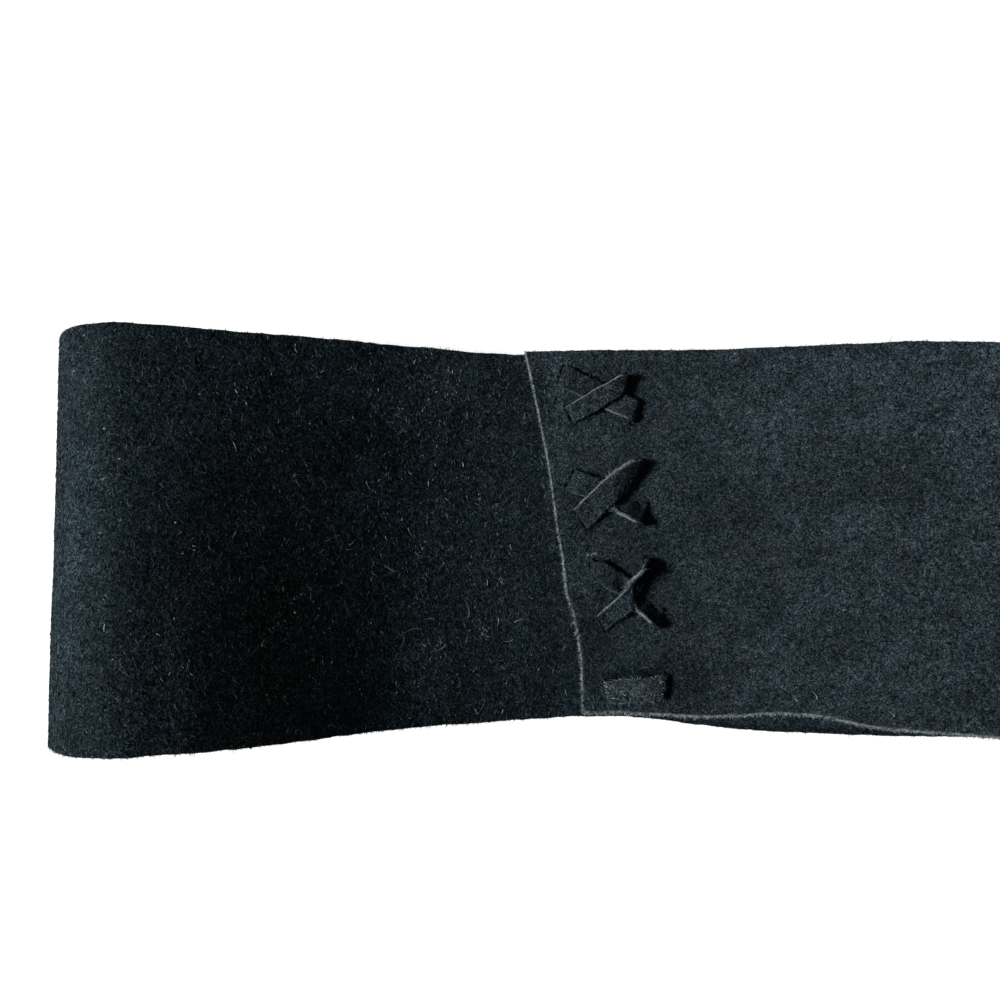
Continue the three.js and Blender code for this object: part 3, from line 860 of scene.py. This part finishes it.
def edge_fibres(name, seed):
    """Fuzz that stands out of the cut edges of the strap."""
    rng = np.random.default_rng(seed)
    lap_from = PLACE["right nose"]
    edges = (
        # side, from, to, fibres a millimetre, tone; the outer layer's near edge gets pale fuzz
        # and its far edge dark fuzz, partly as painted highlight on the edge that faces the
        # light
        (0.0, 0.0, lap_from, 6, 0.10),
        (0.0, lap_from, END, 24, 0.50),
        (1.0, 0.0, lap_from, 4.5, 0.06),
        (1.0, lap_from, END, 5, 0.08),
    )
    rows = []
    for on_side, low, high, density, tone in edges:
        same = np.ones(int((high - low) * density))
        rows.append((rng.uniform(low, high, len(same)), same * on_side, same * tone, same * 0))
    # The outer layer's cut end, which faces the light, gets pale fuzz, partly as painted
    # highlight.
    for place, sign, density, tone in ((END, 1.0, 24, 0.5), (0.0, -1.0, 8, 0.1)):
        same = np.ones(int(STRAP_WIDTH * density))
        rows.append((same * place, rng.uniform(0, 1, len(same)), same * tone, same * sign))
    station, side, tone, at_end = map(np.concatenate, zip(*rows))
    count = len(station)
    point, normal = strap_surface(station, side)
    along = on_strap(station, side)
    across = unit(across_strap(along, side))
    travel = middle_point(along + 0.3, side) - middle_point(along - 0.3, side)
    ahead = unit(np.cross(normal, across))
    ahead = ahead * np.sign((ahead * travel).sum(-1, keepdims=True))
    outward = across * np.where(side > 0.5, 1, -1)[:, None]
    outward = np.where((at_end != 0)[:, None], ahead * at_end[:, None], outward)
    sideways = np.cross(normal, outward)
    height = rng.uniform(-0.6, 0.95, count)
    angle = rng.normal(0, 0.95, count)
    tilt = rng.normal(0.2, 0.4, count)
    direction = outward * np.cos(angle)[:, None] + sideways * np.sin(angle)[:, None]
    return fibre_mesh(
        name,
        2,
        root=point + normal * (height * HALF_THICKNESS * 0.8)[:, None] - outward * 0.1,
        direction=unit(direction + normal * tilt[:, None]),
        normal=normal,
        length=np.where(tone > 0.3, 0.38, 0.30) * rng.lognormal(0, 0.45, count),
        width=rng.uniform(0.07, 0.15, count),
        lift=rng.uniform(-0.2, 0.4, count),
        curl=rng.normal(0, 0.6, count),
        twist=rng.normal(0, 0.6, count),
        tone=np.clip(tone * rng.lognormal(0, 0.5, count), 0, 1),
    )


# How frayed the raised edge of each stitch is, and last the lace behind the belt. The raised
# edges face the light, and their pale fuzz is partly painted highlight.
FRAYED = np.array([0, 1.0, 1.0, 0, 4.0, 1.0, 0, 0])


def lace_fibres(name, seed, count):
    """Short fuzz over the lace, thickest and palest on the straight stitch, and pale on the
    raised edges, partly as painted highlight.
    """
    rng = np.random.default_rng(seed)
    at, point, across, half, out, stitch, progress = lace_frames()
    heading = unit(np.gradient(point, axis=0))
    alone = np.array([row.lies == "alone" for row in STITCHES] + [False])[stitch]
    frayed = FRAYED[stitch] * smoothstep(0.35, 0.6, progress) * smoothstep(1.0, 0.9, progress)
    weight = np.where(stitch >= 0, np.where(alone, 6.0, 1.0 + frayed), 0.0)
    i = rng.choice(len(at), count, p=weight / weight.sum())
    s = np.clip(rng.uniform(-1.06, 1.06, count), -1, 1)
    face = np.where(rng.random(count) < 0.8, -1, 1)
    normal = out[i] * face[:, None]
    rising = np.array([np.sign(row.right[1] - row.left[1]) for row in STITCHES] + [1.0])[stitch]
    raised = np.where(across[i][:, 1] > 0, 1, -1) * rising[i]
    at_raised_edge = rng.random(count) < 0.75 * frayed[i] / (1 + frayed[i])
    s = np.where(at_raised_edge, raised, s)
    on_edge = np.abs(s) > 0.97
    angle = rng.uniform(0, 2 * math.pi, count)
    edge_angle = np.sign(s) * math.pi / 2 + rng.normal(0, 0.8, count)
    angle = np.where(on_edge, edge_angle, angle)
    direction = heading[i] * np.cos(angle)[:, None] + across[i] * np.sin(angle)[:, None]
    tone = rng.lognormal(-2.7, 0.65, count)
    at_left = smoothstep(0.5, 0.1, progress[i])
    tone = np.where(alone[i], rng.lognormal(-1.5, 0.8, count) * (1 + 0.7 * at_left), tone)
    tone = np.where(rng.random(count) < 0.4, rng.uniform(*DARK_TONES, count), tone)
    # Pale fuzz on the raised edge: partly painted highlight where it faces the light.
    tone = np.where(at_raised_edge, rng.lognormal(-1.2, 0.5, count), tone)
    return fibre_mesh(
        name,
        2,
        root=point[i] + across[i] * (s * half[i] * 0.985)[:, None]
        + normal * (LACE_THICKNESS / 2 - 0.1),
        direction=direction,
        normal=normal,
        length=np.where(alone[i], 0.5, 0.42) * rng.lognormal(0, 0.4, count),
        width=rng.uniform(0.1, 0.2, count),
        lift=rng.uniform(0.0, 0.4, count),
        curl=rng.normal(0, 0.6, count),
        twist=rng.normal(0, 0.6, count),
        tone=np.clip(tone, 0, 1),
    )


# Groups of longer, pale, curled hairs: name, x, y, reach in x, reach in y, how many, length
HAIR_GROUPS = [
    ("low on the ramp", -74, -25, 13, 4.0, 17, 2.0),
    ("middle of the ramp", -98, -10, 12, 9, 8, 1.8),
    ("left half", -120, 10, 45, 35, 5, 1.0),
    ("overlap", 10, 0, 45, 42, 4, 1.3),
    ("left of the top cross", -51.5, 42, 1.8, 4.5, 9, 0.8),
    ("above the bottom cross", -40.0, -6.5, 1.4, 0.4, 7, 0.8),
    ("near edge of the overlap", 20, -46.5, 20, 1.5, 3, 1.7),
]
SPECKS = 36
# Where the specks lie in x and in y, how long and how wide they are
SPECK_LIMITS = [(-160, -70), (-46, 44), (0.25, 0.45), (0.2, 0.34)]


def hairs(name, seed):
    """Loose pale hairs and specks of lint lying on the upper run."""
    rng = np.random.default_rng(seed)
    ramp_span = (PLACE["toe"], PLACE["left brow"])
    rows = []
    for _, x, y, reach_x, reach_y, count, length in HAIR_GROUPS:
        hair_x = x + reach_x * rng.uniform(-1, 1, count)
        hair_y = y + reach_y * rng.uniform(-1, 1, count)
        lengths = length * rng.lognormal(0, 0.35, count)
        rows.append((hair_x, hair_y, lengths, rng.uniform(0.10, 0.16, count)))
    rows.append([rng.uniform(*limits, SPECKS) for limits in SPECK_LIMITS])
    x, y, length, width = map(np.concatenate, zip(*rows))
    count = len(x)
    on_lap = x > lap_end_x(y) + 1
    station = np.where(on_lap, station_on_overlap(x, y), place_at(ramp_span, x))
    angle = rng.uniform(0, 2 * math.pi, count)
    root, direction, normal = lay_on_strap(station, (y + HALF_WIDTH) / STRAP_WIDTH, 1, angle)
    return fibre_mesh(
        name,
        7,
        root=root + normal * 0.15,
        direction=direction,
        normal=normal,
        length=length,
        width=width,
        lift=rng.uniform(0.02, 0.2, count),
        curl=rng.uniform(0.4, 1.0, count) * rng.choice([-1, 1], count),
        twist=rng.normal(0, 0.3, count),
        tone=rng.uniform(0.75, 1.0, count),
    )


def node(tree, kind, **values):
    made = tree.nodes.new("ShaderNode" + kind)
    for key, value in values.items():
        if key in made.inputs:
            made.inputs[key].default_value = value
        else:
            setattr(made, key, value)
    return made


def feed(tree, socket, value):
    """Sets a socket to a number or a colour, or links it to another node."""
    if isinstance(value, (int, float, tuple)):
        socket.default_value = value
    else:
        tree.links.new(value, socket)


def maths(tree, operation, a, b):
    made = node(tree, "Math", operation=operation)
    feed(tree, made.inputs[0], a)
    feed(tree, made.inputs[1], b)
    return made.outputs[0]


def attribute(tree, name):
    return node(tree, "Attribute", attribute_name=name).outputs["Fac"]


def mix_colour(tree, factor, a, b, blend="MIX"):
    made = node(tree, "Mix", data_type="RGBA", blend_type=blend)
    for key, value in ((0, factor), (6, a), (7, b)):
        feed(tree, made.inputs[key], value)
    return made.outputs[2]


def ramp(tree, factor, stops):
    """A colour ramp. Each stop is a place and a grey level or a colour."""
    made = node(tree, "ValToRGB")
    while len(made.color_ramp.elements) < len(stops):
        made.color_ramp.elements.new(0.5)
    for element, (place, value) in zip(made.color_ramp.elements, stops):
        element.position = place
        element.color = value if isinstance(value, tuple) else (value, value, value, 1)
    tree.links.new(factor, made.inputs[0])
    return made.outputs[0]


def noise(tree, coordinates, scale, detail, rough, distortion=0.0):
    looks = dict(Scale=scale, Detail=detail, Roughness=rough, Distortion=distortion)
    made = node(tree, "TexNoise", **looks)
    tree.links.new(coordinates, made.inputs["Vector"])
    return made.outputs["Fac"]


# Patterns of noise: how many to a metre, detail, roughness and distortion
GRAIN_NOISE = (2300, 2, 0.6)
TUFT_NOISE = (800, 3, 0.6, 0.8)
PATCH_NOISE = (150, 3, 0.55)
DRIFT_NOISE = (120, 2, 0.5)
CLOUD_NOISE = (34, 3, 0.5)
BUMP_HEIGHT = 0.00045
# A purple and a green cast, and a cast that takes the blue away in the painted neutral shade
TINTS = ((1.035, 0.985, 1.01, 1), (0.965, 1.015, 0.99, 1))
LESS_BLUE = (1.15, 1.0, 0.87, 1)
# The colour is more blue where the grain is dark, and greyer where it is light.
GRAIN_CASTS = [(0.0, (0.83, 1, 1.07, 1)), (0.3, (0.98, 1, 1.0, 1)), (1.0, (1.16, 1, 0.94, 1))]
COARSE = (0.0110, 0.0176, 0.0216, 1)
FINE = (0.0174, 0.0256, 0.0317, 1)
# PALE is the colour of the cut edges, partly painted highlight where they face the light.
PALE = (0.20, 0.225, 0.24, 1)
FIBRE_TONES = [
    (0.0, (0.0020, 0.0038, 0.0049, 1)),
    (0.06, (0.0180, 0.0297, 0.0380, 1)),
    (0.25, (0.077, 0.106, 0.126, 1)),
    (1.0, (0.37, 0.41, 0.445, 1)),
]


def multiplied(tree, colour, factor):
    return mix_colour(tree, 1, colour, factor, "MULTIPLY")


def tinted(tree, place, colour):
    """The colour, drifting a little between a purple and a green cast, and painted neutral in
    the deep shade of the ramp.
    """
    drift = ramp(tree, noise(tree, place, *DRIFT_NOISE), [(0.38, 0.0), (0.62, 1.0)])
    colour = multiplied(tree, colour, mix_colour(tree, drift, *TINTS))
    less_blue = mix_colour(tree, attribute(tree, "neutral_shade"), (1, 1, 1, 1), LESS_BLUE)
    return multiplied(tree, colour, less_blue)


def new_material(name, sockets):
    """A material with numbers set on its shader's own sockets."""
    material = bpy.data.materials.new(name)
    material.use_nodes = True
    shader = material.node_tree.nodes["Principled BSDF"]
    for socket, value in sockets.items():
        shader.inputs[socket].default_value = value
    return material, material.node_tree, shader


def suede_material(name):
    sockets = {
        "Roughness": 0.95,
        "Specular IOR Level": 0.0,
        "Sheen Weight": 0.01,
        "Sheen Roughness": 0.45,
        "Sheen Tint": (0.75, 0.9, 1.0, 1),
    }
    material, tree, shader = new_material(name, sockets)
    place = node(tree, "TexCoord").outputs["Object"]
    grain = noise(tree, place, *GRAIN_NOISE)
    tuft = noise(tree, place, *TUFT_NOISE)
    patch = noise(tree, place, *PATCH_NOISE)
    cloud = noise(tree, place, *CLOUD_NOISE)
    fine = attribute(tree, "fine")
    colour = mix_colour(tree, fine, COARSE, FINE)
    grains = ramp(tree, grain, [(0.32, 0.08), (0.48, 0.72), (0.60, 1.7), (0.74, 3.2)])
    tufts = ramp(tree, tuft, [(0.30, 0.25), (0.5, 1.0), (0.72, 1.85)])
    patches = ramp(tree, patch, [(0.30, 0.73), (0.5, 1.0), (0.70, 1.27)])
    clouds = ramp(tree, cloud, [(0.32, 0.80), (0.68, 1.20)])
    small = maths(tree, "MULTIPLY", grains, tufts)
    large = maths(tree, "MULTIPLY", patches, clouds)
    strength = maths(tree, "MULTIPLY", small, large)
    strength = maths(tree, "MULTIPLY", strength, attribute(tree, "shade"))
    scaled = node(tree, "VectorMath", operation="SCALE")
    tree.links.new(colour, scaled.inputs[0])
    tree.links.new(strength, scaled.inputs["Scale"])
    cast = ramp(tree, maths(tree, "MULTIPLY", small, 0.4), GRAIN_CASTS)
    dyed = multiplied(tree, scaled.outputs[0], cast)
    # Pale cut edges, partly painted highlight where they face the light.
    ragged = ramp(tree, tuft, [(0.3, 0.4), (0.55, 1.0)])
    pale = maths(tree, "MULTIPLY", attribute(tree, "pale"), ragged)
    final = mix_colour(tree, pale, tinted(tree, place, dyed), PALE)
    tree.links.new(final, shader.inputs["Base Color"])
    height = maths(tree, "ADD", maths(tree, "MULTIPLY", grain, 0.5), tuft)
    bump = node(tree, "Bump", Strength=1.0, Distance=BUMP_HEIGHT)
    tree.links.new(height, bump.inputs["Height"])
    tree.links.new(bump.outputs[0], shader.inputs["Normal"])
    return material


def fibre_material(name):
    sockets = {"Roughness": 0.8, "Specular IOR Level": 0.03}
    material, tree, shader = new_material(name, sockets)
    place = node(tree, "TexCoord").outputs["Object"]
    colour = tinted(tree, place, ramp(tree, attribute(tree, "tone"), FIBRE_TONES))
    tree.links.new(colour, shader.inputs["Base Color"])
    return material


def dress(obj, material):
    obj.data.materials.clear()
    obj.data.materials.append(material)
    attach(obj, "root")


CAMERA_PLACE = (-65.0, 4.0, 281.15)
CAMERA_TILT = 0.018
# A focal length of one picture width, which is usual for a phone
PICTURE_WIDTH = 36

camera_data = bpy.data.cameras.new("camera")
camera_data.lens = PICTURE_WIDTH
camera_data.sensor_width = PICTURE_WIDTH
camera_data.clip_start = 0.01
camera = to_scene("camera", camera_data)
camera.location = [value * MM for value in CAMERA_PLACE]
camera.rotation_euler = (CAMERA_TILT, 0, 0)
bpy.context.scene.camera = camera

view_settings = bpy.context.scene.view_settings
view_settings.view_transform = "Standard"
view_settings.look = "None"

KEY_ELEVATION = math.radians(37)
KEY_AZIMUTH = math.radians(184)
KEY_DISTANCE = 2.2
KEY_TARGET = (-0.065, 0, 0.01)
KEY_SIZE = 0.66
KEY_ENERGY = 84
KEY_COLOUR = (1.0, 0.99, 0.97)
key_reach = KEY_DISTANCE * math.cos(KEY_ELEVATION)
key_data = bpy.data.lights.new("key", "AREA")
key_data.shape = "DISK"
key_data.size = KEY_SIZE
key_data.energy = KEY_ENERGY
key_data.color = KEY_COLOUR
key = to_scene("key", key_data)
key.location = (
    KEY_TARGET[0] + math.cos(KEY_AZIMUTH) * key_reach,
    KEY_TARGET[1] + math.sin(KEY_AZIMUTH) * key_reach,
    KEY_DISTANCE * math.sin(KEY_ELEVATION),
)
towards = Vector(KEY_TARGET) - key.location
key.rotation_euler = towards.to_track_quat("-Z", "Y").to_euler()

WORLD_COLOUR = (0.84, 0.96, 1.04, 1)
WORLD_STRENGTH = 0.075
world = bpy.data.worlds.new("world")
world.use_nodes = True
background = world.node_tree.nodes["Background"]
background.inputs["Color"].default_value = WORLD_COLOUR
background.inputs["Strength"].default_value = WORLD_STRENGTH
bpy.context.scene.world = world

# The floor glows a little, so that it looks as white as the photo's ground.
FLOOR_SOCKETS = {
    "Base Color": (0.3, 0.3, 0.3, 1),
    "Roughness": 1.0,
    "Specular IOR Level": 0.0,
    "Emission Color": (1, 1, 1, 1),
    "Emission Strength": 0.86,
}
FLOOR_CORNERS = [(-4, -4, 0), (4, -4, 0), (4, 4, 0), (-4, 4, 0)]
FLOOR_HEIGHT = -0.0002
floor_mesh = bpy.data.meshes.new("floor")
floor_mesh.from_pydata(FLOOR_CORNERS, [], [(0, 1, 2, 3)])
floor = to_scene("floor", floor_mesh)
floor.location = (0, 0, FLOOR_HEIGHT)
floor_mesh.materials.append(new_material("floor", FLOOR_SOCKETS)[0])

strap_suede = make_strap()
cut_slits(strap_suede)
dress(strap_suede, suede_material("strap_suede"))
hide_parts("strap")

lace_suede = make_lace()
dress(lace_suede, suede_material("lace_suede"))
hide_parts("lace")

COARSE_NAP = dict(
    lay=-1.5, spread=0.6, length=0.55, width=0.19, lift=(0.05, 0.7), curl=0.5, dark_share=0.35,
    tone=-2.9, tone_spread=1.0, lightness_power=1.0, palest=0.9, margin=0.002, segments=1,
)
COARSE_CURLS = dict(
    COARSE_NAP, length=0.95, width=0.17, lift=(0.0, 0.35), curl=0.9, dark_share=0.25,
    tone=-2.85, tone_spread=0.9, margin=0.006, segments=3,
)
FINE_NAP = dict(
    COARSE_NAP, lay=-0.9, spread=1.3, length=0.5, width=0.18, dark_share=0.46,
    tone=-2.52, tone_spread=0.55, palest=0.32,
)
FINE_CURLS = dict(
    FINE_NAP, length=1.1, width=0.2, lift=(0.0, 0.35), curl=0.8, dark_share=0.5,
    tone=-2.35, palest=0.2, margin=0.008, segments=2,
)
left_span = (PLACE["pinch left"], PLACE["left cheek"])
right_span = (PLACE["right slope"], END)
fibre = fibre_material("nap_fibre")
nap = [
    nap_fibres("nap_left", 101, 98000, left_span, COARSE_NAP),
    nap_fibres("curls_left", 109, 18000, left_span, COARSE_CURLS),
    nap_fibres("nap_right", 102, 80000, right_span, FINE_NAP),
    nap_fibres("curls_right", 110, 20000, right_span, FINE_CURLS),
    nap_fibres("nap_start", 103, 9000, (0, left_span[0]), COARSE_NAP),
    nap_fibres("nap_under", 104, 22000, (left_span[1], right_span[0]), COARSE_NAP),
    nap_fibres("nap_inside", 105, 30000, (0, END), COARSE_NAP, -1),
    edge_fibres("edge_fuzz", 106),
    hairs("loose_hairs", 107),
]
for piece in nap:
    dress(piece, fibre)
dress(lace_fibres("lace_fuzz", 108, 13000), fibre)
